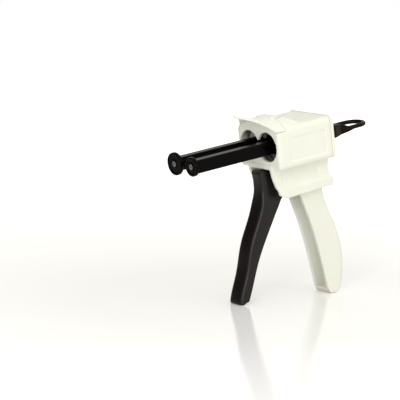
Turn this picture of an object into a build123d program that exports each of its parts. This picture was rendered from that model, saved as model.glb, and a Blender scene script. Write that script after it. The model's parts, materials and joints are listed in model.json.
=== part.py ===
from build123d import *
import math
import os

# Twin-plunger dispensing gun for two-barrel dental cartridges, in millimetres.
# Each piece is drawn in the tool's own frame: X to the tool's left, Y to the rear,
# Z up, with the origin midway between the two plunger rods on the front face.
# The finished pieces are then pitched nose down, as the tool stands on a table.

# Plunger: two toothed rods, two discs and a pull loop
ROD_SPACING = 22.5
ROD_WIDTH = 8.0
ROD_TOP = 4.9
ROD_BOTTOM = -5.7
ROD_REACH = 72.0
GROOVE_HEIGHT = 3.2
GROOVE_DEPTH = 0.8
GROOVE_RISE = 0.9
ROD_CORNER = 0.8
TOOTH_PITCH = 3.0
TOOTH_DEPTH = 1.5
TOOTH_MARGIN = 9.0
TOOTH_SKIRT = 1.8
LARGE_DISC_DIAMETER = 18.4
SMALL_DISC_DIAMETER = 15.4
DISC_THICKNESS = 3.4
DISC_RIM = 1.5
DISC_DISH = 0.8
HUB_DIAMETER = 6.4
SCREW_HEAD_DIAMETER = 4.4
SCREW_HEAD_HEIGHT = 1.3
SCREW_SHANK_DIAMETER = 2.6
SCREW_SHANK_LENGTH = 8.0
LOOP_GAP = 1.0
LOOP_LENGTH = 51.4
LOOP_BAR = 3.6
LOOP_BAR_HEIGHT = -1.6
LOOP_BOW_RADIUS = 10.0
LOOP_CHEEK = 3.0
LOOP_SOCKET = 10.0
LOOP_PIN_DIAMETER = 2.5
LOOP_PIN_INSET = 5.0

# Body: upper box
BODY_WIDTH = 53.0
BODY_LENGTH = 57.5
BODY_TOP = 16.2
BODY_BOTTOM = -18.5
BODY_WALL = 2.4
BODY_CORNER = 4.2
NOSE_EDGE = 2.2
COVER_THICKNESS = 3.2
COVER_MARGIN = 0.5
COVER_GAP = 0.2
COVER_CHAMFER = 0.6
BUSH_FLANGE = 3.0
BUSH_RIM = 1.6
BUSH_FLANGE_RIM = 2.8
BUSH_CORNER = 1.5
COVER_SCREW_DIAMETER = 2.5
COVER_SCREW_HEAD = 4.4
COVER_SCREW_SINK = 1.4
COVER_SCREW_MARGIN = 1.6
COVER_SCREW_CROSS = 3.4
COVER_SCREW_SLOT = 0.6
PANEL_FRONT = 11.5
PANEL_REAR = 49.0
PANEL_TOP = 6.8
PANEL_BOTTOM = -12.6
PANEL_DEPTH = 0.5
PANEL_CORNER = 1.2

# Body: cartridge seat at the front
HOLE_DIAMETER = 24.0
CUSP_WIDTH = 9.0
CUSP_TOP = 5.0
CUSP_BOTTOM = -8.6
LIP_THICKNESS = 3.0
FLANGE_SLOT = 3.4
FLANGE_SLOT_RISE = 8.0
FLANGE_SLOT_CORNER = 3.0
FLANGE_WIDTH = 46.0
SEAT_THICKNESS = 3.0
CAP_SEAM = 12.7
ARCH_TOP = 22.8
ARCH_RADIUS = 42.4
ARCH_CORNER = 3.0
ARCH_WALL = 2.6
RAMP_START = 16.0
RAMP_END = 27.0

# Latch lid with its peaked finger tab
LID_GAP = 0.3
LID_ARM_WIDTH = 20.0
LID_ARM_THICKNESS = 2.6
LID_ARM_END = 27.5
LID_PIN_DIAMETER = 2.6
LID_PIN_DROP = 3.6
LID_EAR = 3.0
LID_CARRIER_FRONT = 4.5
LID_CARRIER_REAR = 5.5
LID_CARRIER_DROP = 3.5
VISOR_REACH = 22.6
VISOR_INSET = 4.5
VISOR_SHOULDER_WIDTH = 0.4
VISOR_SHOULDER_REACH = 0.45
VISOR_SLOPE = 17.0
VISOR_THICKNESS = 2.2
VISOR_TIP_RADIUS = 1.8

# Body: base below the box, and the rear handle
BASE_HALF_WIDTH = 15.5
BASE_WAIST = 14.7
SKIRT_HALF_WIDTH = 17.5
SKIRT_TOP = -33.6
BASE_BOTTOM = -42.4
BASE_WALL = 3.0
BASE_REAR = 58.4
BASE_RISE = 4.0
BASE_PANEL_FRONT = 9.0
BASE_PANEL_REAR = 47.0
BASE_PANEL_TOP = -22.6
BASE_PANEL_BOTTOM = -31.0
BASE_PANEL_DEPTH = 0.4
SLOT_REAR = 27.0
HANDLE_WIDTH = 19.0
HANDLE_WALL = 2.8
HANDLE_CORNER = 5.0
HANDLE_DROP = 134.3
HEEL_Y = 52.0
HEEL_FLAT = 6.0

# Trigger lever and its works
TRIGGER_WIDTH = 15.0
TRIGGER_EDGE = 4.8
TRIGGER_REAR_EDGE = 1.0
TRIGGER_DROP = 122.6
TOE_Y = -36.0
TRIGGER_PIN_Y = 17.0
TRIGGER_PIN_Z = -30.0
TRIGGER_PIN_DIAMETER = 5.0
TRIGGER_PIN_HALF = 13.4
TRIGGER_POCKET_WIDTH = 8.0
TRIGGER_RIB = 1.4
PAWL_PIN_Y = 29.0
PAWL_PIN_Z = -15.6
PAWL_PIN_DIAMETER = 3.0
HEAD_RISE = 3.2
PAWL_TIP_Y = 20.5
PAWL_CLEARANCE = 0.35
SPRING_WIRE = 1.1
SPRING_COILS = 3
PAWL_LEAF = 0.5

# Friction brake on the rods, inside the box
BRAKE_GAP = 1.3
BRAKE_FRONT_GAP = 3.0
BRAKE_HEIGHT = 4.0
BRAKE_PAD_WIDTH = 6.0
BRAKE_LIFT = 0.3

# Fits
RUNNING_GAP = 0.05
ROD_GAP = 0.4
SIDE_GAP = 0.5
OVERCUT = 1.0

STANCE_PITCH = math.degrees(math.atan2(HANDLE_DROP - TRIGGER_DROP, HEEL_Y - TOE_Y))
half_spacing = ROD_SPACING / 2
half_body = BODY_WIDTH / 2
cap_depth = LIP_THICKNESS + FLANGE_SLOT + SEAT_THICKNESS
visor_half = half_body - VISOR_INSET
shell_rear = BODY_LENGTH - COVER_THICKNESS
brake_rear = shell_rear - BUSH_FLANGE - BRAKE_GAP
brake_front = LID_ARM_END + LID_CARRIER_REAR + BRAKE_FRONT_GAP
brake_length = brake_rear - brake_front
pawl_inner = TRIGGER_WIDTH / 2 + SIDE_GAP
pawl_outer = BASE_WAIST - BASE_WALL - SIDE_GAP
lid_seat_radius = LID_ARM_END - cap_depth
pawl_swing_radius = ROD_BOTTOM - PAWL_CLEARANCE - TRIGGER_PIN_Z
pawl_tip_top = TRIGGER_PIN_Z + math.sqrt(pawl_swing_radius**2 - (PAWL_TIP_Y - TRIGGER_PIN_Y) ** 2)


def side_face(*points):
    """A closed outline of (y, z) points, seen from the tool's left side."""
    return Plane.YZ * make_face(Polyline(*points, close=True))


def front_face(*points):
    """A closed outline of (x, z) points, seen from the front."""
    return Plane.XZ * make_face(Polyline(*points, close=True))


def across(face, low, high):
    """Solid of a side outline between two X positions."""
    return extrude(Pos(low, 0, 0) * face, amount=high - low, dir=(1, 0, 0))


def along(face, front, rear):
    """Solid of a front outline between two Y positions."""
    return extrude(Pos(0, front, 0) * face, amount=rear - front, dir=(0, 1, 0))


def block(x_low, x_high, front, rear, bottom, top):
    """Plain box between two corners."""
    centre = ((x_low + x_high) / 2, (front + rear) / 2, (bottom + top) / 2)
    return Pos(*centre) * Box(x_high - x_low, rear - front, top - bottom)


def cross_pin(y, z, radius, low, high):
    """Cylinder along X between two X positions."""
    middle = (low + high) / 2
    return Pos(middle, y, z) * Rot(0, 90, 0) * Cylinder(radius, high - low)


def long_pin(x, z, radius, front, rear):
    """Cylinder along Y between two Y positions."""
    return Pos(x, (front + rear) / 2, z) * Rot(90, 0, 0) * Cylinder(radius, rear - front)


def rounded_front(half_width, bottom, top, corner):
    """Rounded rectangle seen from the front."""
    centre = Pos(0, (bottom + top) / 2)
    return Plane.XZ * centre * RectangleRounded(2 * half_width, top - bottom, corner)


def arch_face(inset, bottom):
    """Front view of the arched nose, with its crown lowered by an inset."""
    centre_z = ARCH_TOP - ARCH_RADIUS
    disc = Pos(0, centre_z) * Circle(ARCH_RADIUS - inset)
    half = half_body - inset
    span = Pos(0, (bottom + ARCH_TOP) / 2) * Rectangle(2 * half, ARCH_TOP - bottom)
    return Plane.XZ * (disc & span)


def seat_opening():
    """Front view of the figure-eight opening that the cartridge barrels pass."""
    middle = (CUSP_TOP + CUSP_BOTTOM) / 2
    shape = Pos(0, middle) * Rectangle(CUSP_WIDTH, CUSP_TOP - CUSP_BOTTOM)
    for side in (-1, 1):
        shape += Pos(side * half_spacing, 0) * Circle(HOLE_DIAMETER / 2)
    return Plane.XZ * shape


def lid_axis():
    """Y and Z of the latch lid's hinge pin."""
    return LID_ARM_END, BODY_TOP - LID_PIN_DROP


def rack_rod(side):
    """One plunger rod: a grooved bar with ratchet teeth along its inner underside."""
    middle = (ROD_TOP + ROD_BOTTOM) / 2
    section = Pos(0, middle) * RectangleRounded(ROD_WIDTH, ROD_TOP - ROD_BOTTOM, ROD_CORNER)
    for edge in (-1, 1):
        groove = Rectangle(2 * GROOVE_DEPTH, GROOVE_HEIGHT)
        section -= Pos(edge * ROD_WIDTH / 2, middle + GROOVE_RISE) * groove
    rear = BODY_LENGTH + LOOP_GAP
    rod = along(Plane.XZ * section, -ROD_REACH, rear)

    first = -ROD_REACH + TOOTH_MARGIN
    count = int((rear - TOOTH_MARGIN - first) / TOOTH_PITCH)
    last = first + count * TOOTH_PITCH
    rack = [(first, ROD_BOTTOM - 1)]
    for index in range(count):
        start = first + index * TOOTH_PITCH
        rack.append((start, ROD_BOTTOM))
        rack.append((start + 0.2 * TOOTH_PITCH, ROD_BOTTOM + TOOTH_DEPTH))
    rack += [(last, ROD_BOTTOM), (last, ROD_BOTTOM - 1)]
    inner_side = -side * (ROD_WIDTH / 2 + 1)
    skirt_side = side * (ROD_WIDTH / 2 - TOOTH_SKIRT)
    rod -= across(side_face(*rack), min(inner_side, skirt_side), max(inner_side, skirt_side))
    screw_end = -ROD_REACH + SCREW_SHANK_LENGTH
    rod -= long_pin(0, 0, SCREW_SHANK_DIAMETER / 2, -ROD_REACH - 1, screw_end)
    return Pos(side * half_spacing, 0, 0) * rod


def plunger_disc(side, diameter):
    """Pusher disc with a raised rim, a dished face and a hub for its screw."""
    radius = diameter / 2
    front = DISC_THICKNESS
    profile = Polyline(
        (SCREW_SHANK_DIAMETER / 2 + RUNNING_GAP, 0),
        (radius - 0.6, 0),
        (radius, 0.6),
        (radius, front - 0.5),
        (radius - 0.5, front),
        (radius - DISC_RIM, front),
        (radius - DISC_RIM - 0.5, front - DISC_DISH),
        (HUB_DIAMETER / 2 + 0.4, front - DISC_DISH),
        (HUB_DIAMETER / 2, front),
        (SCREW_HEAD_DIAMETER / 2 + 0.1, front),
        (SCREW_HEAD_DIAMETER / 2 + 0.1, front - SCREW_HEAD_HEIGHT),
        (SCREW_SHANK_DIAMETER / 2 + RUNNING_GAP, front - SCREW_HEAD_HEIGHT),
        close=True,
    )
    disc = revolve(Plane.XZ * make_face(profile), Axis.Z)
    return Pos(side * half_spacing, -ROD_REACH, 0) * Rot(90, 0, 0) * disc


def disc_screw(side):
    """Socket-headed screw that holds a disc on its rod."""
    seat = -ROD_REACH - DISC_THICKNESS + SCREW_HEAD_HEIGHT
    head = long_pin(0, 0, SCREW_HEAD_DIAMETER / 2, seat - SCREW_HEAD_HEIGHT + 0.2, seat)
    socket = Plane.XZ * RegularPolygon(1.1, 6)
    head -= along(socket, seat - SCREW_HEAD_HEIGHT, seat - 0.4)
    shank = long_pin(0, 0, SCREW_SHANK_DIAMETER / 2, seat, -ROD_REACH + SCREW_SHANK_LENGTH - 0.5)
    return Pos(side * half_spacing, 0, 0) * (head + shank)


def pull_loop():
    """Rear bow: two sockets on the rod ends, cheeks that taper, and a round bar."""
    front = BODY_LENGTH + LOOP_GAP
    bow_y = front + LOOP_LENGTH - LOOP_BOW_RADIUS - LOOP_BAR / 2
    cheek_inner = LOOP_BOW_RADIUS - LOOP_CHEEK / 2
    cheek_outer = LOOP_BOW_RADIUS + LOOP_CHEEK / 2
    rod_outer = half_spacing + ROD_WIDTH / 2
    socket_rear = front + LOOP_SOCKET
    cheek_front = front + 0.36 * LOOP_LENGTH
    plan = make_face(
        Polyline(
            (-rod_outer, front),
            (rod_outer, front),
            (rod_outer, socket_rear),
            (cheek_outer, cheek_front),
            (cheek_outer, bow_y),
            (cheek_inner, bow_y),
            (cheek_inner, socket_rear),
            (-cheek_inner, socket_rear),
            (-cheek_inner, bow_y),
            (-cheek_outer, bow_y),
            (-cheek_outer, cheek_front),
            (-rod_outer, socket_rear),
            close=True,
        )
    )
    loop = extrude(Pos(0, 0, ROD_BOTTOM - 1) * plan, amount=ROD_TOP - ROD_BOTTOM + 2)
    thin = 0.2 * LOOP_BAR
    upper = Spline(
        (socket_rear, ROD_TOP),
        (cheek_front + 3.4, ROD_TOP - 2.4),
        (cheek_front + 12.0, LOOP_BAR_HEIGHT + 1.1),
        (bow_y + 1, LOOP_BAR_HEIGHT + thin),
        tangents=[(1, 0), (1, -0.02)],
    )
    lower = Spline(
        (bow_y + 1, LOOP_BAR_HEIGHT - thin),
        (cheek_front + 12.0, LOOP_BAR_HEIGHT - 2.2),
        (cheek_front, ROD_BOTTOM + 0.4),
        (socket_rear, ROD_BOTTOM),
        tangents=[(-1, -0.02), (-1, 0)],
    )
    ends = Polyline(lower @ 1, (front, ROD_BOTTOM), (front, ROD_TOP), upper @ 0)
    profile = Plane.YZ * make_face([upper, Line(upper @ 1, lower @ 0), lower, ends])
    loop &= across(profile, -rod_outer - 1, rod_outer + 1)

    reach = LOOP_BOW_RADIUS + LOOP_BAR
    bow = Pos(0, bow_y, LOOP_BAR_HEIGHT) * Torus(LOOP_BOW_RADIUS, LOOP_BAR / 2)
    loop += bow & block(-reach, reach, bow_y, bow_y + reach, -reach, reach)
    for place in (-1, 1):
        x = place * LOOP_BOW_RADIUS
        loop += long_pin(x, LOOP_BAR_HEIGHT, LOOP_BAR / 2, cheek_front + 6.0, bow_y)
    for place in (-1, 1):
        pin_place = Pos(place * half_spacing, front + LOOP_PIN_INSET, 0)
        loop -= pin_place * Cylinder(LOOP_PIN_DIAMETER / 2, 2 * LOOP_LENGTH)
    return loop


def loop_pins():
    """Two upright pins through the front ends of the pull loop."""
    pins = Part()
    height = ROD_TOP - ROD_BOTTOM - 2.4
    for place in (-1, 1):
        centre = (place * half_spacing, BODY_LENGTH + LOOP_GAP + LOOP_PIN_INSET, (ROD_TOP + ROD_BOTTOM) / 2)
        pins += Pos(*centre) * Cylinder(LOOP_PIN_DIAMETER / 2, height)
    return pins


def panel_face(front, rear, bottom, top):
    """Rounded rectangle seen from the side, for a shallow moulded panel."""
    centre = Pos((front + rear) / 2, (bottom + top) / 2)
    return Plane.YZ * centre * RectangleRounded(rear - front, top - bottom, PANEL_CORNER)


def base_section(inset, top):
    """Front view of the base: a waisted block that flares into a skirt."""
    half = [
        (BASE_HALF_WIDTH, top),
        (BASE_HALF_WIDTH, BODY_BOTTOM - 1.5),
        (BASE_WAIST, (BODY_BOTTOM + SKIRT_TOP) / 2),
        (BASE_HALF_WIDTH, SKIRT_TOP),
        (SKIRT_HALF_WIDTH, SKIRT_TOP - 2.6),
        (SKIRT_HALF_WIDTH, BASE_BOTTOM - 2),
    ]
    right = [(x - inset, z) for x, z in half]
    left = [(-x, z) for x, z in reversed(right)]
    return front_face(*right, *left)


def base_side(inset):
    """Side view of the base, with a raked front and a flared rear skirt."""
    return side_face(
        (-0.6 + inset, BODY_BOTTOM + BASE_RISE),
        (-0.6 + inset, BODY_BOTTOM - 1.5),
        (4.8 + inset, BASE_BOTTOM + 2.2),
        (10.5 + inset, BASE_BOTTOM - 1.2),
        (BASE_REAR - inset, BASE_BOTTOM),
        (BASE_REAR + 1.8 - inset, BASE_BOTTOM + 2),
        (BASE_REAR + 1.8 - inset, SKIRT_TOP - 3),
        (BASE_REAR - inset, SKIRT_TOP),
        (BASE_REAR - 0.8 - inset, (BODY_BOTTOM + SKIRT_TOP) / 2),
        (BASE_REAR - inset, BODY_BOTTOM),
        (BASE_REAR - inset, BODY_BOTTOM + BASE_RISE),
    )


def handle_height(share):
    """Height at a share of the way from the base down to the heel."""
    return BASE_BOTTOM + share * (-HANDLE_DROP - BASE_BOTTOM)


def handle_rear(inset, top):
    """Rear curve of the handle's side view, from above the heel up to a height."""
    return Spline(
        (HEEL_Y + 14.0 - inset, handle_height(0.95)),
        (HEEL_Y + 17.6 - inset, handle_height(0.76)),
        (HEEL_Y + 15.6 - inset, handle_height(0.48)),
        (HEEL_Y + 8.2 - inset, handle_height(0.24)),
        (HEEL_Y + 4.6 - inset, handle_height(0.12)),
        (HEEL_Y + 5.0 - inset, top),
    )


def handle():
    """Rear grip: a moulding with rounded back corners, open along its front."""
    front = Spline(
        (SLOT_REAR + 1.5, handle_height(-0.04)),
        (SLOT_REAR + 6.0, handle_height(0.12)),
        (HEEL_Y - 14.5, handle_height(0.27)),
        (HEEL_Y - 6.4, handle_height(0.65)),
        (HEEL_Y - 2.2, handle_height(0.94)),
    )
    heel_drop = HEEL_FLAT * math.tan(math.radians(STANCE_PITCH))
    heel_front = (HEEL_Y, -HANDLE_DROP)
    heel_rear = (HEEL_Y + HEEL_FLAT, -HANDLE_DROP - heel_drop)
    rear = handle_rear(0, handle_height(-0.04))
    sole = Polyline(front @ 1, heel_front, heel_rear, rear @ 0)
    outline = Plane.YZ * make_face([front, sole, rear, Line(rear @ 1, front @ 0)])
    half = HANDLE_WIDTH / 2
    grip = across(outline, -half, half)
    middle = rear @ 0.5
    curved = grip.edges().filter_by(GeomType.BSPLINE)
    rear_edges = [curved.sort_by_distance((side * half, middle.X, middle.Y))[0] for side in (-1, 1)]
    grip = fillet(rear_edges, HANDLE_CORNER)

    back = handle_rear(HANDLE_WALL, handle_height(0.04))
    lip = front @ 1
    opening = Polyline(
        back @ 1,
        (0, handle_height(0.04)),
        (0, lip.Y),
        (lip.X, lip.Y),
        (HEEL_Y, -HANDLE_DROP + HANDLE_WALL),
        (HEEL_Y + HEEL_FLAT, -HANDLE_DROP - heel_drop + HANDLE_WALL),
        back @ 0,
    )
    inner = half - HANDLE_WALL
    return grip - across(Plane.YZ * make_face([back, opening]), -inner, inner)


def nose_face():
    """Front view of the nose: an arch over upright sides, with rounded corners."""
    disc = Pos(0, ARCH_TOP - ARCH_RADIUS) * Circle(ARCH_RADIUS)
    middle = (BODY_BOTTOM + ARCH_TOP) / 2
    outline = disc & (Pos(0, middle) * Rectangle(BODY_WIDTH, ARCH_TOP - BODY_BOTTOM))
    corners = outline.vertices().sort_by(Axis.Y)
    outline = fillet(corners[:2], BODY_CORNER)
    upper = outline.vertices().filter_by_position(Axis.Y, middle, ARCH_TOP)
    sides = upper.filter_by(lambda corner: abs(corner.X) > half_body - 0.01)
    return Plane.XZ * fillet(sides, ARCH_CORNER)


def box_envelope():
    """Outside of the box and its arched nose, rounded all round the front face."""
    section = rounded_front(half_body, BODY_BOTTOM, BODY_TOP, BODY_CORNER)
    deck = side_face(
        (0, BODY_BOTTOM),
        (RAMP_END, BODY_BOTTOM),
        (RAMP_END, BODY_TOP),
        (RAMP_START, ARCH_TOP + 1),
        (0, ARCH_TOP + 1),
    )
    nose = along(nose_face(), 0, RAMP_END)
    front = nose.faces().sort_by(Axis.Y)[0]
    nose = fillet(front.outer_wire().edges(), NOSE_EDGE)
    nose &= across(deck, -half_body, half_body)
    return nose + along(section, RAMP_START, shell_rear)


def housing():
    """Main moulding: box, nose with the cartridge seat, base and handle."""
    body = box_envelope()
    base = along(base_section(0, BODY_BOTTOM + BASE_RISE), -2 * OVERCUT, BASE_REAR + 3 * OVERCUT)
    body += base & across(base_side(0), -SKIRT_HALF_WIDTH, SKIRT_HALF_WIDTH)
    body += handle()

    hinge_y, hinge_z = lid_axis()
    swing_room = block(-half_body - 1, half_body + 1, -1, hinge_y, CAP_SEAM, ARCH_TOP + 1)
    swing_room -= cross_pin(hinge_y, hinge_z, lid_seat_radius, -half_body - 2, half_body + 2)
    body -= swing_room
    inner = half_body - BODY_WALL
    cavity = rounded_front(inner, BODY_BOTTOM + BODY_WALL, BODY_TOP - BODY_WALL, BODY_CORNER - 2)
    body -= along(cavity, cap_depth, shell_rear + 1)
    body -= along(seat_opening(), -1, cap_depth + 1)
    mouth = HOLE_DIAMETER / 2 + half_spacing
    body -= block(-mouth, mouth, -1, LIP_THICKNESS + 1, 0, CAP_SEAM + 1)
    slot = FLANGE_WIDTH / 2
    slot_rear = LIP_THICKNESS + FLANGE_SLOT
    slot_face = rounded_front(slot, BODY_BOTTOM + BODY_WALL, CAP_SEAM + FLANGE_SLOT_RISE, FLANGE_SLOT_CORNER)
    body -= along(slot_face, LIP_THICKNESS, slot_rear)

    well = along(base_section(BASE_WALL, BODY_BOTTOM), -2 * OVERCUT, SLOT_REAR)
    body -= well & across(base_side(0), -SKIRT_HALF_WIDTH, SKIRT_HALF_WIDTH)
    well_half = BASE_WAIST - BASE_WALL
    body -= block(
        -well_half, well_half, cap_depth, BASE_REAR - BASE_WALL,
        BASE_BOTTOM + BASE_WALL, BODY_BOTTOM + BODY_WALL + OVERCUT,
    )
    slit = TRIGGER_WIDTH / 2 + SIDE_GAP
    slit_top = BASE_BOTTOM + BASE_WALL + OVERCUT
    body -= block(-slit, slit, -2 * OVERCUT, SLOT_REAR, BASE_BOTTOM - 3 * OVERCUT, slit_top)

    base_panel = panel_face(BASE_PANEL_FRONT, BASE_PANEL_REAR, BASE_PANEL_BOTTOM, BASE_PANEL_TOP)
    box_panel = panel_face(PANEL_FRONT, PANEL_REAR, PANEL_BOTTOM, PANEL_TOP)
    for face, depth_at in ((box_panel, half_body - PANEL_DEPTH), (base_panel, BASE_WAIST - BASE_PANEL_DEPTH)):
        body -= across(face, depth_at, half_body + OVERCUT)
        body -= across(face, -half_body - OVERCUT, -depth_at)

    recess = side_face(
        (cap_depth - 1, ARCH_TOP - LID_ARM_THICKNESS - LID_GAP),
        (RAMP_START, ARCH_TOP - LID_ARM_THICKNESS - LID_GAP),
        (RAMP_END - 0.6, BODY_TOP - LID_ARM_THICKNESS - LID_GAP),
        (LID_ARM_END + LID_PIN_DROP + 1.2, BODY_TOP - LID_ARM_THICKNESS - LID_GAP),
        (LID_ARM_END + LID_PIN_DROP + 1.2, ARCH_TOP + 2),
        (cap_depth - 1, ARCH_TOP + 2),
    )
    arm_half = LID_ARM_WIDTH / 2 + SIDE_GAP
    body -= across(recess, -arm_half, arm_half)
    pin_half = arm_half + LID_EAR
    carrier = block(
        -pin_half - 1, pin_half + 1, hinge_y - LID_CARRIER_FRONT, hinge_y + LID_CARRIER_REAR,
        hinge_z - LID_CARRIER_DROP, BODY_TOP - BODY_WALL + 0.1,
    )
    knuckle_room = cross_pin(hinge_y, hinge_z, LID_PIN_DROP + LID_GAP, -arm_half, arm_half)
    body += carrier
    body -= knuckle_room
    body -= block(
        -arm_half, arm_half, hinge_y - LID_CARRIER_FRONT, hinge_y + LID_PIN_DROP + 1.2, hinge_z, ARCH_TOP
    )
    body -= cross_pin(hinge_y, hinge_z, LID_PIN_DIAMETER / 2, -pin_half, pin_half)
    pin_radius = TRIGGER_PIN_DIAMETER / 2
    body -= cross_pin(TRIGGER_PIN_Y, TRIGGER_PIN_Z, pin_radius, -TRIGGER_PIN_HALF, TRIGGER_PIN_HALF)
    return body


def rear_cover():
    """Plate that closes the rear of the box, with guide openings for the rods."""
    half = half_body + COVER_MARGIN
    plate = along(
        rounded_front(half, BODY_BOTTOM, BODY_TOP + COVER_MARGIN, BODY_CORNER), shell_rear, BODY_LENGTH
    )
    outer_edges = plate.faces().sort_by(Axis.Y)[-1].edges()
    plate = chamfer(outer_edges, COVER_CHAMFER)
    for place in (-1, 1):
        opening = bush_outline(shell_rear - 1, BODY_LENGTH + 1, BUSH_RIM)
        plate -= Pos(place * half_spacing, 0, 0) * opening
    hole = COVER_SCREW_DIAMETER / 2 + RUNNING_GAP
    sink = COVER_SCREW_HEAD / 2 + COVER_GAP
    for x, z in cover_screw_places():
        plate -= long_pin(x, z, hole, shell_rear - 1, BODY_LENGTH + 1)
        plate -= long_pin(x, z, sink, BODY_LENGTH - COVER_SCREW_SINK, BODY_LENGTH + 1)
    base = base_section(-COVER_GAP, BODY_BOTTOM + BASE_RISE + COVER_GAP)
    return plate - along(base, shell_rear - OVERCUT, BODY_LENGTH + OVERCUT)


def cover_screw_places():
    """X and Z of the four screws that hold the rear cover."""
    x = half_body - BODY_WALL - COVER_SCREW_MARGIN
    return [(side * x, z) for side in (-1, 1) for z in (BODY_BOTTOM + 6.4, BODY_TOP - 5.0)]


def bush_outline(front, rear, rim):
    """Rounded block around a rod, wider than the rod by a rim on each side."""
    width = ROD_WIDTH + 2 * (ROD_GAP + rim)
    height = ROD_TOP - ROD_BOTTOM + 2 * (ROD_GAP + rim)
    middle = Pos(0, (ROD_TOP + ROD_BOTTOM) / 2)
    return along(Plane.XZ * middle * RectangleRounded(width, height, BUSH_CORNER), front, rear)


def rod_bush(side):
    """Slide bush in the rear cover, with a flange inside the box."""
    sleeve = bush_outline(shell_rear - 2, BODY_LENGTH, BUSH_RIM)
    sleeve += bush_outline(shell_rear - BUSH_FLANGE, shell_rear, BUSH_FLANGE_RIM)
    width = ROD_WIDTH + 2 * ROD_GAP
    height = ROD_TOP - ROD_BOTTOM + 2 * ROD_GAP
    middle = Pos(0, (ROD_TOP + ROD_BOTTOM) / 2)
    sleeve -= along(Plane.XZ * middle * RectangleRounded(width, height, ROD_CORNER), shell_rear - 4, BODY_LENGTH + 1)
    return Pos(side * half_spacing, 0, 0) * sleeve


def cover_screws():
    """Four pan screws in the rear cover, as one group of separate solids."""
    screws = Part()
    seat = BODY_LENGTH - COVER_SCREW_SINK
    arm = COVER_SCREW_CROSS / 2
    slot = COVER_SCREW_SLOT / 2
    cross_depth = BODY_LENGTH - 0.8
    for x, z in cover_screw_places():
        head = long_pin(x, z, COVER_SCREW_HEAD / 2, seat, BODY_LENGTH - 0.1)
        head -= block(x - slot, x + slot, cross_depth, BODY_LENGTH + 1, z - arm, z + arm)
        head -= block(x - arm, x + arm, cross_depth, BODY_LENGTH + 1, z - slot, z + slot)
        screws += head + long_pin(x, z, COVER_SCREW_DIAMETER / 2, shell_rear, seat)
    return screws


def latch_lid():
    """Hinged lid over the cartridge slot: arched nose, finger tab and rear arm."""
    seam = CAP_SEAM + LID_GAP
    rear = cap_depth - LID_GAP
    hinge_y, hinge_z = lid_axis()
    lid = box_envelope() & block(-half_body, half_body, 0, RAMP_START, seam, ARCH_TOP + 1)
    lid -= cross_pin(hinge_y, hinge_z, lid_seat_radius + LID_GAP, -half_body - 1, half_body + 1)
    inner = arch_face(ARCH_WALL, seam - 1)
    lid -= along(inner, LIP_THICKNESS, LIP_THICKNESS + FLANGE_SLOT)
    mouth = HOLE_DIAMETER / 2 + half_spacing - LID_GAP
    tongue = block(-mouth, mouth, 0, LIP_THICKNESS - LID_GAP, LID_GAP, seam + 0.1)
    lid += tongue
    lid -= along(seat_opening(), -1, cap_depth)

    tilt = math.radians(VISOR_SLOPE)
    rise = VISOR_REACH * math.tan(tilt)
    crescent = arch_face(0, CAP_SEAM - rise) - arch_face(VISOR_THICKNESS, CAP_SEAM - rise - 1)
    run = VISOR_REACH / math.cos(tilt)
    root = NOSE_EDGE / math.cos(tilt)
    crescent = Pos(0, NOSE_EDGE, -NOSE_EDGE * math.tan(tilt)) * crescent
    sheet = extrude(crescent, amount=run + root, dir=(0, -math.cos(tilt), math.sin(tilt)))
    shoulder = VISOR_SHOULDER_WIDTH * visor_half
    shoulder_reach = -VISOR_SHOULDER_REACH * VISOR_REACH
    beak = make_face(
        Polyline(
            (-visor_half, NOSE_EDGE),
            (-visor_half, 0),
            (-shoulder, shoulder_reach),
            (0, -VISOR_REACH),
            (shoulder, shoulder_reach),
            (visor_half, 0),
            (visor_half, NOSE_EDGE),
            close=True,
        )
    )
    tip = beak.vertices().sort_by(Axis.Y)[0]
    beak = fillet(tip, VISOR_TIP_RADIUS)
    sheet &= extrude(beak, amount=ARCH_TOP + rise + 5, dir=(0, 0, 1))
    lid += sheet

    arm = side_face(
        (rear - 1, ARCH_TOP - 0.1),
        (RAMP_START, ARCH_TOP - 0.1),
        (RAMP_END, BODY_TOP),
        (LID_ARM_END + 0.6, BODY_TOP),
        (LID_ARM_END + 0.6, BODY_TOP - LID_ARM_THICKNESS),
        (RAMP_END - 0.6, BODY_TOP - LID_ARM_THICKNESS),
        (RAMP_START, ARCH_TOP - LID_ARM_THICKNESS),
        (rear - 1, ARCH_TOP - LID_ARM_THICKNESS),
    )
    arm_half = LID_ARM_WIDTH / 2
    lid += across(arm, -arm_half, arm_half)
    lid += cross_pin(hinge_y, hinge_z, LID_PIN_DROP, -arm_half, arm_half)
    lid -= cross_pin(hinge_y, hinge_z, LID_PIN_DIAMETER / 2 + RUNNING_GAP, -arm_half - 1, arm_half + 1)
    return lid


def lid_pin():
    """Hinge pin of the latch lid, held in the housing's two ears."""
    hinge_y, hinge_z = lid_axis()
    half = LID_ARM_WIDTH / 2 + SIDE_GAP + LID_EAR
    return cross_pin(hinge_y, hinge_z, LID_PIN_DIAMETER / 2, -half, half)


def trigger_height(share):
    """Height at a share of the way from the base's bottom down to the toe."""
    return BASE_BOTTOM + share * (-TRIGGER_DROP - BASE_BOTTOM)


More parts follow.
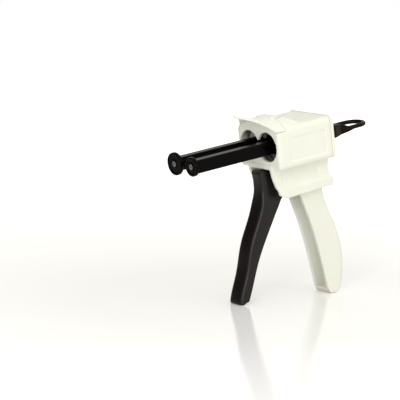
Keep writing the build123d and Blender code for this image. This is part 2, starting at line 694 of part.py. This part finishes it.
def trigger():
    """Front lever: a curved blade with a cored rear and a head inside the base."""
    front = Spline(
        (-8.2, BODY_BOTTOM + 4.0),
        (-8.8, trigger_height(0.05)),
        (-13.0, trigger_height(0.17)),
        (-23.6, trigger_height(0.42)),
        (TOE_Y + 4.2, trigger_height(0.72)),
        (TOE_Y - 1.2, trigger_height(0.87)),
        (TOE_Y - 4.8, trigger_height(1.0)),
        (TOE_Y - 7.4, trigger_height(1.1)),
    )
    behind = PAWL_PIN_Y + 10
    surround = Polyline(front @ 1, (behind, trigger_height(1.1)), (behind, BODY_BOTTOM + 4.0), front @ 0)
    half = TRIGGER_WIDTH / 2
    blade = across(Plane.YZ * make_face([front, surround]), -half, half)
    blade = fillet(blade.edges().filter_by(GeomType.BSPLINE), TRIGGER_EDGE)

    rear = Spline(
        (TOE_Y + 5.2, trigger_height(0.975)),
        (TOE_Y + 10.2, trigger_height(0.84)),
        (-17.3, trigger_height(0.60)),
        (-4.6, trigger_height(0.335)),
        (2.5, trigger_height(0.20)),
        (11.6, trigger_height(0.035)),
    )
    head = Polyline(
        rear @ 1,
        (TRIGGER_PIN_Y + 5.0, TRIGGER_PIN_Z - 5.5),
        (TRIGGER_PIN_Y + 9.0, TRIGGER_PIN_Z + 3.0),
        (PAWL_PIN_Y + 4.0, PAWL_PIN_Z - 1),
        (PAWL_PIN_Y + 2.8, PAWL_PIN_Z + HEAD_RISE),
        (PAWL_PIN_Y - 2.0, PAWL_PIN_Z + HEAD_RISE),
        (TRIGGER_PIN_Y - 1.6, TRIGGER_PIN_Z + 7.5),
        (4.0, BODY_BOTTOM - 2.4),
        (-1.5, BODY_BOTTOM - 1.0),
        (-10.0, BODY_BOTTOM - 3.6),
        (2 * TOE_Y, BODY_BOTTOM - 3.6),
        (2 * TOE_Y, -TRIGGER_DROP + 18.0),
        (TOE_Y - 2.5, -TRIGGER_DROP + 0.4),
        (TOE_Y, -TRIGGER_DROP),
        rear @ 0,
    )
    lever = blade & across(Plane.YZ * make_face([rear, head]), -half, half)
    middle = rear @ 0.5
    curved = lever.edges().filter_by(GeomType.BSPLINE)
    rear_edges = [curved.sort_by_distance((side * half, middle.X, middle.Y))[0] for side in (-1, 1)]
    lever = fillet(rear_edges, TRIGGER_REAR_EDGE)

    pocket = Spline(
        (TOE_Y + 12.4, trigger_height(0.84)),
        (-15.3, trigger_height(0.60)),
        (-2.6, trigger_height(0.335)),
        (4.5, trigger_height(0.20)),
    )
    bottom = Spline(
        (TOE_Y + 6.2, trigger_height(0.80)),
        (-21.3, trigger_height(0.58)),
        (-9.6, trigger_height(0.32)),
        (-3.5, trigger_height(0.19)),
    )
    core = make_face([pocket, Line(pocket @ 1, bottom @ 1), bottom, Line(bottom @ 0, pocket @ 0)])
    core_half = TRIGGER_POCKET_WIDTH / 2
    hollow = across(Plane.YZ * core, -core_half, core_half)
    rib_half = TRIGGER_RIB / 2
    for share in (0.36, 0.5, 0.64):
        rib = trigger_height(share)
        hollow -= block(-core_half, core_half, TOE_Y, TRIGGER_PIN_Y, rib - rib_half, rib + rib_half)
    lever -= hollow

    bore = TRIGGER_PIN_DIAMETER / 2 + RUNNING_GAP
    lever -= cross_pin(TRIGGER_PIN_Y, TRIGGER_PIN_Z, bore, -half - 1, half + 1)
    lever -= cross_pin(PAWL_PIN_Y, PAWL_PIN_Z, PAWL_PIN_DIAMETER / 2, -half - 1, half + 1)
    return lever


def trigger_pin():
    """Pivot pin of the trigger, in blind bores of the base's side walls."""
    radius = TRIGGER_PIN_DIAMETER / 2
    return cross_pin(TRIGGER_PIN_Y, TRIGGER_PIN_Z, radius, -TRIGGER_PIN_HALF, TRIGGER_PIN_HALF)


def drive_pawl():
    """Two-fingered pawl that pushes both racks, on a pin through the trigger head."""
    tip_top = pawl_tip_top
    outline = side_face(
        (PAWL_TIP_Y, tip_top),
        (PAWL_TIP_Y + 1.8, tip_top),
        (PAWL_PIN_Y + 1.5, PAWL_PIN_Z + 3.0),
        (PAWL_PIN_Y + 3.0, PAWL_PIN_Z),
        (PAWL_PIN_Y + 1.5, PAWL_PIN_Z - 2.6),
        (PAWL_PIN_Y - 1.5, PAWL_PIN_Z - 3.0),
        (PAWL_TIP_Y + 1.5, tip_top - 5.0),
        (PAWL_TIP_Y - 0.6, tip_top - 2.0),
    )
    pawl = Part()
    for side in (-1, 1):
        low, high = sorted((side * pawl_inner, side * pawl_outer))
        pawl += across(outline, low, high)
    web = side_face(
        (PAWL_TIP_Y + 0.4, tip_top - 3.4),
        (PAWL_TIP_Y + 2.4, tip_top - 1.2),
        (PAWL_TIP_Y + 5.0, tip_top - 2.6),
        (PAWL_TIP_Y + 3.4, tip_top - 6.0),
        (PAWL_TIP_Y + 1.5, tip_top - 5.0),
    )
    pawl += across(web, -pawl_outer, pawl_outer)
    bore = PAWL_PIN_DIAMETER / 2 + RUNNING_GAP
    pawl -= cross_pin(PAWL_PIN_Y, PAWL_PIN_Z, bore, -pawl_outer - 1, pawl_outer + 1)
    return pawl


def pawl_pin():
    """Pin that carries the drive pawl in the trigger head."""
    return cross_pin(PAWL_PIN_Y, PAWL_PIN_Z, PAWL_PIN_DIAMETER / 2, -pawl_outer, pawl_outer)


def trigger_spacer():
    """Collar on the pivot pin that fills the gap on the trigger's right side."""
    low = -(BASE_WAIST - BASE_WALL) + 0.3
    high = -TRIGGER_WIDTH / 2 - 0.3
    ring = cross_pin(TRIGGER_PIN_Y, TRIGGER_PIN_Z, TRIGGER_PIN_DIAMETER / 2 + 1.4, low, high)
    bore = TRIGGER_PIN_DIAMETER / 2 + 0.02
    return ring - cross_pin(TRIGGER_PIN_Y, TRIGGER_PIN_Z, bore, low - 1, high + 1)


def trigger_spring():
    """Torsion spring round the pivot pin, on the trigger's left side."""
    room = BASE_WAIST - BASE_WALL - TRIGGER_WIDTH / 2
    coil_pitch = (room - 0.6 - SPRING_WIRE) / SPRING_COILS
    radius = TRIGGER_PIN_DIAMETER / 2 + 0.3 + SPRING_WIRE / 2
    path = Helix(coil_pitch, coil_pitch * SPRING_COILS, radius)
    start = path @ 0
    section = Plane(origin=start, z_dir=path % 0) * Circle(SPRING_WIRE / 2)
    coil = sweep(section, path=path, is_frenet=True)
    lift = TRIGGER_WIDTH / 2 + 0.3 + SPRING_WIRE / 2
    return Pos(lift, TRIGGER_PIN_Y, TRIGGER_PIN_Z) * Rot(0, 90, 0) * coil


def pawl_spring():
    """Bent leaf on top of the trigger head that lifts the drive pawl's web."""
    half = TRIGGER_WIDTH / 2 - 3.5
    seat = PAWL_PIN_Z + HEAD_RISE
    tip = pawl_tip_top - 7.3
    leaf = side_face(
        (PAWL_PIN_Y + 1.5, seat),
        (PAWL_PIN_Y - 2.1, seat),
        (PAWL_TIP_Y + 3.0, tip),
        (PAWL_TIP_Y + 3.0, tip + PAWL_LEAF),
        (PAWL_PIN_Y - 2.1, seat + PAWL_LEAF),
        (PAWL_PIN_Y + 1.5, seat + PAWL_LEAF),
    )
    return across(leaf, -half, half)


def brake_shoe():
    """Nylon pads that drag lightly on the tops of both rods."""
    low = ROD_TOP + BRAKE_LIFT
    high = low + BRAKE_HEIGHT
    pad = BRAKE_PAD_WIDTH / 2
    bridge_low = low + 0.4 * BRAKE_HEIGHT
    shoe = block(-half_spacing, half_spacing, brake_front + 2, brake_rear - 2, bridge_low, high)
    for side in (-1, 1):
        x = side * half_spacing
        shoe += block(x - pad, x + pad, brake_front, brake_rear, low, high)
    return shoe


def brake_spring():
    """Bowed leaf between the brake shoe and the roof of the box."""
    low = ROD_TOP + BRAKE_LIFT + BRAKE_HEIGHT
    high = BODY_TOP - BODY_WALL
    middle = (brake_front + brake_rear) / 2
    span = brake_length / 2 - 1
    outer = ThreePointArc((middle - span, low), (middle, high), (middle + span, low))
    inner = ThreePointArc((middle + span - 0.8, low), (middle, high - 0.5), (middle - span + 0.8, low))
    ends = [Line(outer @ 1, inner @ 0), Line(inner @ 1, outer @ 0)]
    return across(Plane.YZ * make_face([outer, inner] + ends), -4, 4)


pieces = {
    "housing": housing(),
    "rear_cover": rear_cover(),
    "cover_screws": cover_screws(),
    "rod_bush_left": rod_bush(1),
    "rod_bush_right": rod_bush(-1),
    "brake_shoe": brake_shoe(),
    "brake_spring": brake_spring(),
    "latch_lid": latch_lid(),
    "lid_pin": lid_pin(),
    "plunger_rod_left": rack_rod(1),
    "plunger_rod_right": rack_rod(-1),
    "small_disc": plunger_disc(1, SMALL_DISC_DIAMETER),
    "large_disc": plunger_disc(-1, LARGE_DISC_DIAMETER),
    "small_disc_screw": disc_screw(1),
    "large_disc_screw": disc_screw(-1),
    "pull_loop": pull_loop(),
    "loop_pins": loop_pins(),
    "trigger": trigger(),
    "trigger_pin": trigger_pin(),
    "trigger_spacer": trigger_spacer(),
    "trigger_spring": trigger_spring(),
    "drive_pawl": drive_pawl(),
    "pawl_pin": pawl_pin(),
    "pawl_spring": pawl_spring(),
}

stance = Rot(STANCE_PITCH, 0, 0)
boxes = [(stance * piece).bounding_box() for piece in pieces.values()]
floor = min(box.min.Z for box in boxes)
front_end = min(box.min.Y for box in boxes)
rear_end = max(box.max.Y for box in boxes)
placement = Pos(0, -(front_end + rear_end) / 2, -floor) * stance

os.makedirs("parts", exist_ok=True)
for name, piece in pieces.items():
    export_step(placement * piece, "parts/" + name + ".step")
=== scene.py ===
import json
import math

import bmesh
import bpy
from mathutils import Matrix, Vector


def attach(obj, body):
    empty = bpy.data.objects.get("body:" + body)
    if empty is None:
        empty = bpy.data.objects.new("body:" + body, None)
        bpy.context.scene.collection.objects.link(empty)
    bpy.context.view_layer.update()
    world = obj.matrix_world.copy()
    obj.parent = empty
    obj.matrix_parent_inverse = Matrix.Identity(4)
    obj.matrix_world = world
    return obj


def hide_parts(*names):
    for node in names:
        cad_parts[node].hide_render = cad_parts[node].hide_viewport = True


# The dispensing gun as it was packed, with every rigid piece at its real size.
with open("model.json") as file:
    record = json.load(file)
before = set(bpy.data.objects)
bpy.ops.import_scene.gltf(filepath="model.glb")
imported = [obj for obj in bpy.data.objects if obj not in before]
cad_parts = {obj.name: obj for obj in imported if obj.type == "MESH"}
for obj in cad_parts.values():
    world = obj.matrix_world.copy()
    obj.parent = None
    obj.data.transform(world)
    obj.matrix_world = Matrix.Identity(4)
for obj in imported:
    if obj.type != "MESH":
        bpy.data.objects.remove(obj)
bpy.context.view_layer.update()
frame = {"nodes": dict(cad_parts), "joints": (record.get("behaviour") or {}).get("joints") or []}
nodes = frame["nodes"]


# Housing: one ivory injection moulding with the box, the waisted base and the handle.
# It is satin, slightly translucent plastic with a fine spark-eroded grain, and shade is painted
# into its colour in its creases and in the box's inside behind the nose's openings. Two small
# recesses in its roof flank the lid's hinge arm.
ivory_face = (0.908, 0.918, 0.828)
ivory_drift = (0.886, 0.894, 0.796)
# Painted shade: the ivory's colour in its creases, laid in by how closed in each point is.
ivory_crease_shade = (0.80, 0.73, 0.57)
# Painted shade: the colour of the box's inside behind the nose's openings.
ivory_inside_shade = (0.13, 0.115, 0.08)
ivory_roughness = 0.40
ivory_grain_height = 0.00004
ivory_grain_scale = 2600.0
ivory_translucency = 0.08
ivory_glow_depth = (0.004, 0.003, 0.002)
ivory_glow_scale = 0.4
handled_smoother = 0.05
handled_duller = 0.07
crease_reach = 0.004
crease_full = 0.30
crease_none = 0.85
inside_half_width = 0.0235
inside_half_height = 0.0140
inside_start = 0.0005
inside_full_depth = 0.005
inside_fade = 0.001
nose_centre = Vector((0.0, -0.01664, 0.126275))
housing_grid = 0.00045
kept_facets = 0.35
pin_slot_inner = 0.0103
pin_slot_outer = 0.0133
pin_slot_front = -0.0004
pin_slot_rear = 0.0036
pin_slot_floor = 0.0008
pin_slot_top = 0.0050
joints = {joint["name"]: joint for joint in frame["joints"]}
across_way = Vector((1, 0, 0))
rear_way = Vector(joints["plunger_slide"]["axis"])
up_way = across_way.cross(rear_way)
lid_hinge_centre = Vector(joints["lid_hinge"]["pos_m"])


def wire(node, sockets):
    """Sets a node's sockets, each to a value or to the output that is wired to it."""
    for socket, source in sockets.items():
        if isinstance(source, bpy.types.NodeSocket):
            node.id_data.links.new(source, node.inputs[socket])
        else:
            node.inputs[socket].default_value = source


def wired_node(tree, kind, sockets=None, operation=None):
    """A new node in a material or in the room, set and wired up."""
    node = tree.nodes.new("ShaderNode" + kind)
    if operation:
        node.operation = operation
    wire(node, sockets or {})
    return node


def new_finish(name):
    """A bare material, and the place on the piece that its patterns follow."""
    material = bpy.data.materials.new(name)
    material.use_nodes = True
    return material, wired_node(material.node_tree, "TexCoord").outputs["Object"]


def shader_of(material):
    """The shader that makes the look of a material."""
    return material.node_tree.nodes["Principled BSDF"]


def moulded_plastic(name, face, drift, roughness, grain_height, grain_scale):
    """Moulded plastic with cloudy colour, handled sheen and a fine mould grain."""
    material, place = new_finish(name)
    tree = material.node_tree

    cloud = wired_node(tree, "TexNoise", {"Vector": place, "Scale": 38.0, "Detail": 3.0})
    tint = wired_node(tree, "ValToRGB", {"Fac": cloud.outputs["Fac"]})
    drift_end, face_end = tint.color_ramp.elements
    drift_end.position = 0.3
    drift_end.color = (*drift, 1.0)
    face_end.position = 0.7
    face_end.color = (*face, 1.0)

    handled = wired_node(tree, "TexNoise", {"Vector": place, "Scale": 160.0, "Detail": 5.0})
    smoothest = roughness - handled_smoother
    dullest = roughness + handled_duller
    sheen = wired_node(
        tree, "MapRange", {"Value": handled.outputs["Fac"], "To Min": smoothest, "To Max": dullest}
    )

    grain = wired_node(tree, "TexNoise", {"Vector": place, "Scale": grain_scale, "Detail": 2.0})
    relief = wired_node(
        tree, "Bump", {"Height": grain.outputs["Fac"], "Strength": 0.35, "Distance": grain_height}
    )
    wire(
        shader_of(material),
        {
            "Base Color": tint.outputs["Color"],
            "Roughness": sheen.outputs["Result"],
            "Normal": relief.outputs["Normal"],
        },
    )
    return material


def blend_over(material, share, colour):
    """Lays a second colour over a plastic's own, by the share that a node works out."""
    shader = shader_of(material)
    own_colour = shader.inputs["Base Color"].links[0].from_socket
    blend = wired_node(material.node_tree, "Mix")
    blend.data_type = "RGBA"
    wire(blend, {"Factor": share, "A": own_colour, "B": (*colour, 1.0)})
    wire(shader, {"Base Color": blend.outputs["Result"]})


def paint_crease_shade(material, colour, reach):
    """Paints shade into a plastic's colour in its creases, where the surroundings close in."""
    tree = material.node_tree
    openness = wired_node(tree, "AmbientOcclusion", {"Distance": reach})
    openness.samples = 8
    crease = wired_node(
        tree,
        "MapRange",
        {
            "Value": openness.outputs["AO"],
            "From Min": crease_full,
            "From Max": crease_none,
            "To Min": 1.0,
            "To Max": 0.0,
        },
    )
    blend_over(material, crease.outputs["Result"], colour)


def paint_inside_shade(material, colour):
    """Paints shade into the box's inside, behind the nose's openings, as a darker colour."""
    tree = material.node_tree
    place = wired_node(tree, "TexCoord").outputs["Object"]
    from_nose = wired_node(tree, "VectorMath", {0: place, 1: nose_centre}, "SUBTRACT").outputs["Vector"]
    inside = 1.0
    for way, both_sides, outside_at, inside_at in (
        (across_way, True, inside_half_width, inside_half_width - inside_fade),
        (up_way, True, inside_half_height, inside_half_height - inside_fade),
        (rear_way, False, inside_start, inside_full_depth),
    ):
        distance = wired_node(tree, "VectorMath", {0: from_nose, 1: way}, "DOT_PRODUCT").outputs["Value"]
        if both_sides:
            distance = wired_node(tree, "Math", {0: distance}, "ABSOLUTE").outputs["Value"]
        share = wired_node(
            tree, "MapRange", {"Value": distance, "From Min": outside_at, "From Max": inside_at}
        )
        both = wired_node(tree, "Math", {0: inside, 1: share.outputs["Result"]}, "MULTIPLY")
        inside = both.outputs["Value"]
    blend_over(material, inside, colour)


def placed(name, content):
    """A mesh, a lamp or a lens as an object in the scene."""
    piece = bpy.data.objects.new(name, content)
    bpy.context.scene.collection.objects.link(piece)
    return piece


def hinge_side_block(name, low, high):
    """Plain block between two corners: across, to the rear and up from the lid's hinge."""
    form = bmesh.new()
    for across in (low[0], high[0]):
        for back in (low[1], high[1]):
            for rise in (low[2], high[2]):
                form.verts.new(lid_hinge_centre + across_way * across + rear_way * back + up_way * rise)
    bmesh.ops.convex_hull(form, input=form.verts)
    mesh = bpy.data.meshes.new(name)
    form.to_mesh(mesh)
    form.free()
    return placed(name, mesh)


def settled_mesh(piece):
    """The mesh that a piece's modifiers make of it."""
    graph = bpy.context.evaluated_depsgraph_get()
    return bpy.data.meshes.new_from_object(piece.evaluated_get(graph))


def eased_moulding(node_name, body, material, grid, pockets=(), shaping=None):
    """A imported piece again, with its edges and corners eased as a mould leaves them."""
    blank = placed(node_name + "_blank", nodes[node_name].data.copy())
    for pocket in pockets:
        cut = blank.modifiers.new(pocket.name, "BOOLEAN")
        cut.operation = "DIFFERENCE"
        cut.solver = "EXACT"
        cut.object = pocket
    skin = blank.modifiers.new("fine_skin", "REMESH")
    skin.mode = "VOXEL"
    skin.voxel_size = grid
    ease = blank.modifiers.new("eased_edges", "SMOOTH")
    ease.factor = 0.5
    ease.iterations = 3
    if shaping:
        mesh = settled_mesh(blank)
        bpy.data.objects.remove(blank)
        blank = placed(node_name + "_shaped", mesh)
        shaping(blank)
    thin = blank.modifiers.new("fewer_on_flats", "DECIMATE")
    thin.ratio = kept_facets
    mesh = settled_mesh(blank)
    for used in (blank, *pockets):
        bpy.data.objects.remove(used)
    mesh.name = node_name + "_eased"
    mesh.shade_smooth()
    mesh.materials.clear()
    mesh.materials.append(material)
    piece = placed(node_name + "_moulding", mesh)
    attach(piece, body)
    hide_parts(node_name)


ivory = moulded_plastic(
    "ivory_plastic", ivory_face, ivory_drift, ivory_roughness, ivory_grain_height, ivory_grain_scale
)
wire(
    shader_of(ivory),
    {
        "Subsurface Weight": ivory_translucency,
        "Subsurface Radius": ivory_glow_depth,
        "Subsurface Scale": ivory_glow_scale,
    },
)
# Painted shade in the ivory's creases, on the housing, the cover and the lid alike.
paint_crease_shade(ivory, ivory_crease_shade, crease_reach)
housing_ivory = ivory.copy()
housing_ivory.name = "housing_ivory_plastic"
# Painted shade in the housing's inside, behind the nose's openings.
paint_inside_shade(housing_ivory, ivory_inside_shade)

pin_slots = [
    hinge_side_block(
        "pin_slot_" + side_name,
        (side * pin_slot_inner, pin_slot_front, pin_slot_floor),
        (side * pin_slot_outer, pin_slot_rear, pin_slot_top),
    )
    for side_name, side in (("left", 1), ("right", -1))
]
eased_moulding("housing", "housing_body", housing_ivory, housing_grid, pin_slots)


# Rear cover: a flat plate in the same ivory plastic, which closes the back of the box
# and has four recessed cross-head screws of bright steel.
cover_grid = 0.0004
bright_steel_colour = (0.62, 0.62, 0.63)
bright_steel_roughness = 0.28
drawn_lines = (60.0, 2400.0, 2400.0)
line_shade = 0.82
line_smoother = 0.06
line_duller = 0.10
eased_moulding("rear_cover", "housing_body", ivory, cover_grid)


def turned_steel(name, colour, roughness):
    """Steel with the fine lines that drawing or turning leaves."""
    material, place = new_finish(name)
    tree = material.node_tree
    stretch = wired_node(tree, "Mapping", {"Vector": place, "Scale": drawn_lines})
    lines = wired_node(tree, "TexNoise", {"Vector": stretch.outputs["Vector"], "Scale": 1.0})
    line = lines.outputs["Fac"]
    tint = wired_node(tree, "ValToRGB", {"Fac": line})
    dark_line, pale_line = tint.color_ramp.elements
    dark_line.color = (*[line_shade * part for part in colour], 1.0)
    pale_line.color = (*colour, 1.0)
    smoothest = roughness - line_smoother
    dullest = roughness + line_duller
    polish = wired_node(tree, "MapRange", {"Value": line, "To Min": smoothest, "To Max": dullest})
    wire(
        shader_of(material),
        {"Metallic": 1.0, "Base Color": tint.outputs["Color"], "Roughness": polish.outputs["Result"]},
    )
    return material


def finish_node(node_name, material):
    """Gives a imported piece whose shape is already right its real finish."""
    piece = nodes[node_name]
    piece.data.materials.clear()
    piece.data.materials.append(material)


pin_steel = turned_steel("pin_steel", bright_steel_colour, bright_steel_roughness)
finish_node("cover_screws", pin_steel)


# Rod bushes: two flanged slide bushes of undyed nylon, waxy and slightly cloudy,
# pressed into the rear cover round the rods.
nylon_face = (0.74, 0.72, 0.66)
nylon_drift = (0.68, 0.66, 0.60)
nylon_roughness = 0.5
nylon_grain_height = 0.00004
nylon_grain_scale = 1200.0
nylon = moulded_plastic(
    "nylon", nylon_face, nylon_drift, nylon_roughness, nylon_grain_height, nylon_grain_scale
)
for side in ("left", "right"):
    finish_node("rod_bush_" + side, nylon)


# Rod brake: a nylon shoe on the rods' tops, held down by a bowed spring leaf, which
# keeps the plunger from sliding by itself.
spring_steel_colour = (0.50, 0.50, 0.52)
spring_steel_roughness = 0.34
spring_steel = turned_steel("spring_steel", spring_steel_colour, spring_steel_roughness)
finish_node("brake_shoe", nylon)
finish_node("brake_spring", spring_steel)


# Trigger: a curved lever of glass-filled black plastic, cored at the rear with cross
# ribs. Its satin face is warm black, with long front corners rolled over for the
# fingers, and it swells a little where it leaves the housing.
trigger_face = (0.0080, 0.0054, 0.0048)
trigger_drift = (0.0058, 0.0038, 0.0034)
trigger_roughness = 0.36
trigger_specular = 0.34
trigger_grain_height = 0.00003
trigger_grain_scale = 1900.0
trigger_grid = 0.0005
slice_height = 0.001
corner_depth = 0.0085
corner_fade = 0.003
corner_top = 0.094
corner_sole = 0.0012
corner_passes = 130
swell = 0.24
swell_top = 0.089
swell_run = 0.010


def round_front_corners(lever):
    """Rolls the lever's two long front corners over and swells it below the housing."""
    foremost = {}
    for vertex in lever.data.vertices:
        level = round(vertex.co.z / slice_height)
        foremost[level] = min(foremost.get(level, vertex.co.y), vertex.co.y)
    corners = lever.vertex_groups.new(name="front_corners")
    for vertex in lever.data.vertices:
        behind = vertex.co.y - foremost[round(vertex.co.z / slice_height)]
        share = min(
            1.0,
            (corner_depth - behind) / corner_fade,
            (corner_top - vertex.co.z) / corner_fade,
            vertex.co.z / corner_sole,
        )
        if share > 0:
            corners.add([vertex.index], share, "REPLACE")
        below_housing = min(1.0, max(0.0, (swell_top - vertex.co.z) / swell_run))
        vertex.co.x *= 1 + swell * below_housing
    roll = lever.modifiers.new("rolled_corners", "SMOOTH")
    roll.vertex_group = corners.name
    roll.factor = 0.5
    roll.iterations = corner_passes


satin_black = moulded_plastic(
    "satin_black_plastic",
    trigger_face,
    trigger_drift,
    trigger_roughness,
    trigger_grain_height,
    trigger_grain_scale,
)
wire(shader_of(satin_black), {"Specular IOR Level": trigger_specular})
eased_moulding(
    "trigger", "trigger_lever", satin_black, trigger_grid, shaping=round_front_corners
)


# Trigger pivot: a steel pin across the base, with a nylon collar that centres the
# lever and the coil spring that swings it forward again.
finish_node("trigger_pin", pin_steel)
finish_node("trigger_spacer", nylon)
finish_node("trigger_spring", spring_steel)


# Pawl: the two-fingered steel driver that pushes both racks, on its own pin in the
# trigger's head, with a leaf spring behind it.
finish_node("drive_pawl", pin_steel)
finish_node("pawl_pin", pin_steel)
finish_node("pawl_spring", spring_steel)


# Plunger rods: two grooved bars of stiff glossy black plastic with ratchet teeth
# underneath, moulded with small corner radii that catch a thin line of light.
gloss_face = (0.0024, 0.0019, 0.0020)
gloss_drift = (0.0016, 0.0013, 0.0014)
gloss_roughness = 0.18
gloss_specular = 0.055
gloss_grain_height = 0.00002
gloss_grain_scale = 1500.0
rod_grid = 0.0003
gloss_black = moulded_plastic(
    "gloss_black_plastic", gloss_face, gloss_drift, gloss_roughness, gloss_grain_height, gloss_grain_scale
)
wire(shader_of(gloss_black), {"Specular IOR Level": gloss_specular})
for side in ("left", "right"):
    eased_moulding("plunger_rod_" + side, "plunger", gloss_black, rod_grid)


# Discs: two unequal pushers screwed to the rods' front ends, of the same glossy
# black plastic, each with a dull steel screw in the middle.
disc_grid = 0.00025
dull_steel_colour = (0.34, 0.33, 0.32)
dull_steel_roughness = 0.42
dull_steel = turned_steel("dull_steel", dull_steel_colour, dull_steel_roughness)
for size in ("small", "large"):
    eased_moulding(size + "_disc", "plunger", gloss_black, disc_grid)
    finish_node(size + "_disc_screw", dull_steel)


# Pull loop: a bow of softer, less glossy black plastic that joins the rods behind the
# housing, fixed to them by two steel cross pins.
loop_face = (0.0090, 0.0066, 0.0054)
loop_drift = (0.0064, 0.0048, 0.0040)
loop_roughness = 0.30
loop_specular = 0.08
loop_grid = 0.0004
loop_black = moulded_plastic(
    "loop_black_plastic", loop_face, loop_drift, loop_roughness, gloss_grain_height, gloss_grain_scale
)
wire(shader_of(loop_black), {"Specular IOR Level": loop_specular})
eased_moulding("pull_loop", "plunger", loop_black, loop_grid)
finish_node("loop_pins", pin_steel)


# Latch lid: the arched cover over the cartridge slot, ivory like the housing, with a
# peaked finger tab in front and an arm to its steel hinge pin.
lid_grid = 0.0003
eased_moulding("latch_lid", "latch", ivory, lid_grid)
finish_node("lid_pin", pin_steel)


# Table top: a plain pale glossy board, which shows a faint reflection of the tool's
# heel and toe. To the camera it whitens with distance, and it keeps the shadow.
board_size = 6.0
board_drop = 0.0002
board_white = (1.0, 1.0, 1.0, 1.0)
board_look = {"Base Color": (0.90, 0.90, 0.90, 1.0), "Roughness": 0.12, "IOR": 1.8}
board_whitening = {"From Min": 0.15, "From Max": 1.2, "To Min": 0.14, "To Max": 0.80}

bpy.ops.mesh.primitive_plane_add(size=board_size, location=(0, 0, -board_drop))
table_top = bpy.context.object
table_top.name = "table_top"
board, board_place = new_finish("pale_board")
board_tree = board.node_tree
distance_out = wired_node(board_tree, "VectorMath", {0: board_place}, "LENGTH").outputs["Value"]
board_glow = wired_node(board_tree, "MapRange", {"Value": distance_out, **board_whitening})
board_ray = wired_node(board_tree, "LightPath")
camera_glow = wired_node(
    board_tree, "Math", {0: board_glow.outputs["Result"], 1: board_ray.outputs["Is Camera Ray"]}, "MULTIPLY"
)
wire(shader_of(board), board_look)
wire(
    shader_of(board),
    {"Emission Color": board_white, "Emission Strength": camera_glow.outputs["Value"]},
)
table_top.data.materials.append(board)


# Light: a pale room that is dimmer in front on the right, most of all in reflections,
# so that the blacks stay black. A soft lamp stands on the tool's left, a stronger one
# nearer its front lights the edges, and a strip overhead draws a line along the rods.
room_colour = (0.92, 0.90, 0.84)
room_seen = (1.0, 1.0, 1.0, 1.0)
dim_side = Vector((-0.55, -0.83, -0.10))
dim_from = -0.3
dim_full = 0.8
dimmest = 0.50
dimmest_reflected = 0.04
lamp_colour = (0.98, 0.99, 1.0)
lamp_aim = Vector((0, 0, 0.08))

world = bpy.data.worlds.new("pale_room")
bpy.context.scene.world = world
world.use_nodes = True
room = world.node_tree
ray_kind = wired_node(room, "LightPath")
sight = wired_node(room, "TexCoord")
towards_dim = wired_node(room, "VectorMath", {0: sight.outputs["Generated"], 1: dim_side}, "DOT_PRODUCT")
lowest = wired_node(
    room,
    "MapRange",
    {"Value": ray_kind.outputs["Is Glossy Ray"], "To Min": dimmest, "To Max": dimmest_reflected},
)
fall = wired_node(
    room,
    "MapRange",
    {
        "Value": towards_dim.outputs["Value"],
        "From Min": dim_from,
        "From Max": dim_full,
        "To Min": 1.0,
        "To Max": lowest.outputs["Result"],
    },
)
fall.interpolation_type = "SMOOTHSTEP"
room_light = wired_node(room, "VectorMath", {0: room_colour, "Scale": fall.outputs["Result"]}, "SCALE")
room_tint = wired_node(room, "Mix")
room_tint.data_type = "RGBA"
wire(
    room_tint,
    {"Factor": ray_kind.outputs["Is Camera Ray"], "A": room_light.outputs["Vector"], "B": room_seen},
)
wire(room.nodes["Background"], {"Color": room_tint.outputs["Result"]})


def way_to(azimuth, elevation):
    """Direction from the tool: degrees from its front towards its left, and upwards."""
    turn = math.radians(azimuth)
    tilt = math.radians(elevation)
    return Vector((math.sin(turn) * math.cos(tilt), -math.cos(turn) * math.cos(tilt), math.sin(tilt)))


def face_along(thing, way):
    """Turns a lamp or the camera so that it looks along a direction."""
    thing.rotation_mode = "QUATERNION"
    thing.rotation_quaternion = way.to_track_quat("-Z", "Y")


def softbox(name, azimuth, elevation, distance, width, height, power):
    """Rectangular area lamp that looks at the tool from a direction."""
    lamp = bpy.data.lights.new(name, "AREA")
    lamp.shape = "RECTANGLE"
    lamp.size = width
    lamp.size_y = height
    lamp.energy = power
    lamp.color = lamp_colour
    holder = placed(name, lamp)
    back = way_to(azimuth, elevation)
    holder.location = lamp_aim + back * distance
    face_along(holder, -back)


softbox("side_lamp", azimuth=110, elevation=30, distance=0.9, width=0.6, height=0.6, power=0.42)
softbox("edge_lamp", azimuth=38, elevation=17, distance=1.0, width=0.30, height=0.6, power=3.2)
softbox("strip_lamp", azimuth=60, elevation=62, distance=0.9, width=0.9, height=0.025, power=0.6)


# Camera: a long lens a little above the tool, which looks at its left side and nose.
# The centre of the nose's seat has a known place in the picture, which fixes the aim.
picture_width = 400
view_azimuth = 54.0
view_elevation = 8.6
pixels_per_metre = 1250.0
camera_distance = 1.6
film_width = 36.0
nose_pixel_across = 258.2
nose_pixel_down = 146.15

towards_camera = way_to(view_azimuth, view_elevation)
right = Vector((math.cos(math.radians(view_azimuth)), math.sin(math.radians(view_azimuth)), 0.0))
up = towards_camera.cross(right)
aim_right = (picture_width / 2 - nose_pixel_across) / pixels_per_metre
aim_up = (nose_pixel_down - picture_width / 2) / pixels_per_metre
aim = nose_centre + right * aim_right + up * aim_up
lens = bpy.data.cameras.new("camera")
lens.sensor_width = film_width
lens.lens = film_width * pixels_per_metre * camera_distance / picture_width
camera = placed("camera", lens)
camera.location = aim + towards_camera * camera_distance
face_along(camera, -towards_camera)
bpy.context.scene.camera = camera
bpy.context.scene.view_settings.view_transform = "Standard"
